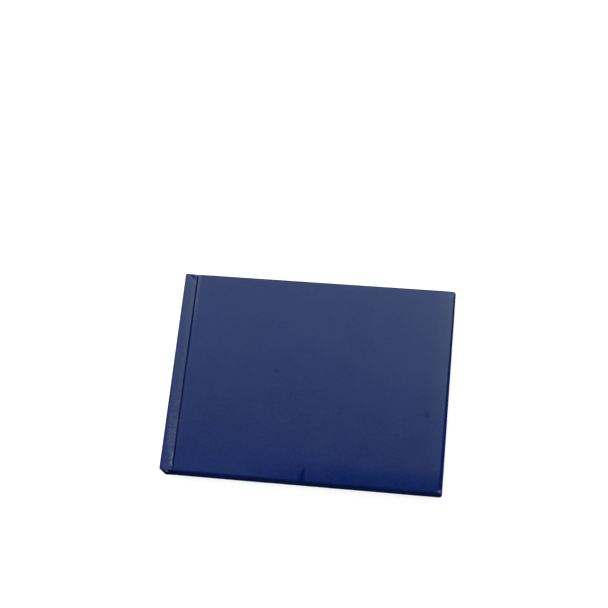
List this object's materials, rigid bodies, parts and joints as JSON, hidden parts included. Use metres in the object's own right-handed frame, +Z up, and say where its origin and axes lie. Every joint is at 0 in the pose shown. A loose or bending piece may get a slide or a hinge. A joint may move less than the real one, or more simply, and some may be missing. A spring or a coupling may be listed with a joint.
{
  "type": "pilot logbook",
  "caption": "Landscape hardcover logbook with navy leatherette covers that hinge on a flat spine and fan out its sewn cream pages.",
  "frame": {"origin": "middle of the underside of the closed book lying on its back cover", "axes": "+X from the spine to the fore edge, +Y towards the head of the pages, +Z up through the front cover"},
  "size_m": [0.21, 0.155, 0.021],
  "materials": {
    "leatherette": "satin, fine grain",
    "board": "matte grey millboard",
    "endpaper": "smooth matte white",
    "text_paper": "smooth matte warm white",
    "mull": "starched open weave",
    "kraft": "matte kraft",
    "thread": "waxed thread",
    "headband": "woven bead"
  },
  "bodies": {
    "back_cover": {"back_board": "board", "back_cover_cloth": "leatherette", "back_mull_wing": "mull", "back_pastedown": "endpaper"},
    "spine": {"spine_inlay": "board", "spine_cloth": "leatherette", "spine_lining": "kraft", "mull": "mull", "sewing_thread": "thread", "headband": "headband", "tailband": "headband"},
    "front_cover": {"front_board": "board", "front_cover_cloth": "leatherette", "front_mull_wing": "mull", "front_pastedown": "endpaper"},
    "flyleaf_front": {"front_flyleaf": "endpaper"},
    "signature_1": {"signature_1": "text_paper"},
    "signature_2": {"signature_2": "text_paper"},
    "signature_3": {"signature_3": "text_paper"},
    "signature_4": {"signature_4": "text_paper"},
    "signature_5": {"signature_5": "text_paper"},
    "signature_6": {"signature_6": "text_paper"},
    "signature_7": {"signature_7": "text_paper"},
    "signature_8": {"signature_8": "text_paper"},
    "flyleaf_back": {"back_flyleaf": "endpaper"}
  },
  "joints": [
    {"name": "back_hinge", "type": "hinge", "parent": "back_cover", "child": "spine", "pos_m": [-0.104, 0, 0.001], "axis": [0, -1, 0], "range_deg": [0, 90]},
    {"name": "front_hinge", "type": "hinge", "parent": "spine", "child": "front_cover", "pos_m": [-0.104, 0, 0.02], "axis": [0, -1, 0], "range_deg": [0, 90]},
    {"name": "flyleaf_front_turn", "type": "hinge", "parent": "spine", "child": "flyleaf_front", "pos_m": [-0.104, 0, 0.02], "axis": [0, -1, 0], "range_deg": [0, 87]},
    {"name": "signature_1_turn", "type": "hinge", "parent": "spine", "child": "signature_1", "pos_m": [-0.104, 0, 0.02], "axis": [0, -1, 0], "range_deg": [0, 80]},
    {"name": "signature_2_turn", "type": "hinge", "parent": "spine", "child": "signature_2", "pos_m": [-0.104, 0, 0.02], "axis": [0, -1, 0], "range_deg": [0, 75]},
    {"name": "signature_3_turn", "type": "hinge", "parent": "spine", "child": "signature_3", "pos_m": [-0.104, 0, 0.001], "axis": [0, -1, 0], "range_deg": [-80, 0]},
    {"name": "signature_4_turn", "type": "hinge", "parent": "spine", "child": "signature_4", "pos_m": [-0.104, 0, 0.001], "axis": [0, -1, 0], "range_deg": [-81.5, 0]},
    {"name": "signature_5_turn", "type": "hinge", "parent": "spine", "child": "signature_5", "pos_m": [-0.104, 0, 0.001], "axis": [0, -1, 0], "range_deg": [-83, 0]},
    {"name": "signature_6_turn", "type": "hinge", "parent": "spine", "child": "signature_6", "pos_m": [-0.104, 0, 0.001], "axis": [0, -1, 0], "range_deg": [-84.5, 0]},
    {"name": "signature_7_turn", "type": "hinge", "parent": "spine", "child": "signature_7", "pos_m": [-0.104, 0, 0.001], "axis": [0, -1, 0], "range_deg": [-86, 0]},
    {"name": "signature_8_turn", "type": "hinge", "parent": "spine", "child": "signature_8", "pos_m": [-0.104, 0, 0.001], "axis": [0, -1, 0], "range_deg": [-87.5, 0]},
    {"name": "flyleaf_back_turn", "type": "hinge", "parent": "spine", "child": "flyleaf_back", "pos_m": [-0.104, 0, 0.001], "axis": [0, -1, 0], "range_deg": [-89, 0]}
  ],
  "couplings": [
    {"joint": "flyleaf_front_turn", "follows": "front_hinge", "ratio": 0.9666},
    {"joint": "signature_1_turn", "follows": "front_hinge", "ratio": 0.8888},
    {"joint": "signature_2_turn", "follows": "front_hinge", "ratio": 0.8333},
    {"joint": "signature_3_turn", "follows": "back_hinge", "ratio": -0.8888},
    {"joint": "signature_4_turn", "follows": "back_hinge", "ratio": -0.9055},
    {"joint": "signature_5_turn", "follows": "back_hinge", "ratio": -0.9222},
    {"joint": "signature_6_turn", "follows": "back_hinge", "ratio": -0.9388},
    {"joint": "signature_7_turn", "follows": "back_hinge", "ratio": -0.9555},
    {"joint": "signature_8_turn", "follows": "back_hinge", "ratio": -0.9722},
    {"joint": "flyleaf_back_turn", "follows": "back_hinge", "ratio": -0.9888}
  ]
}
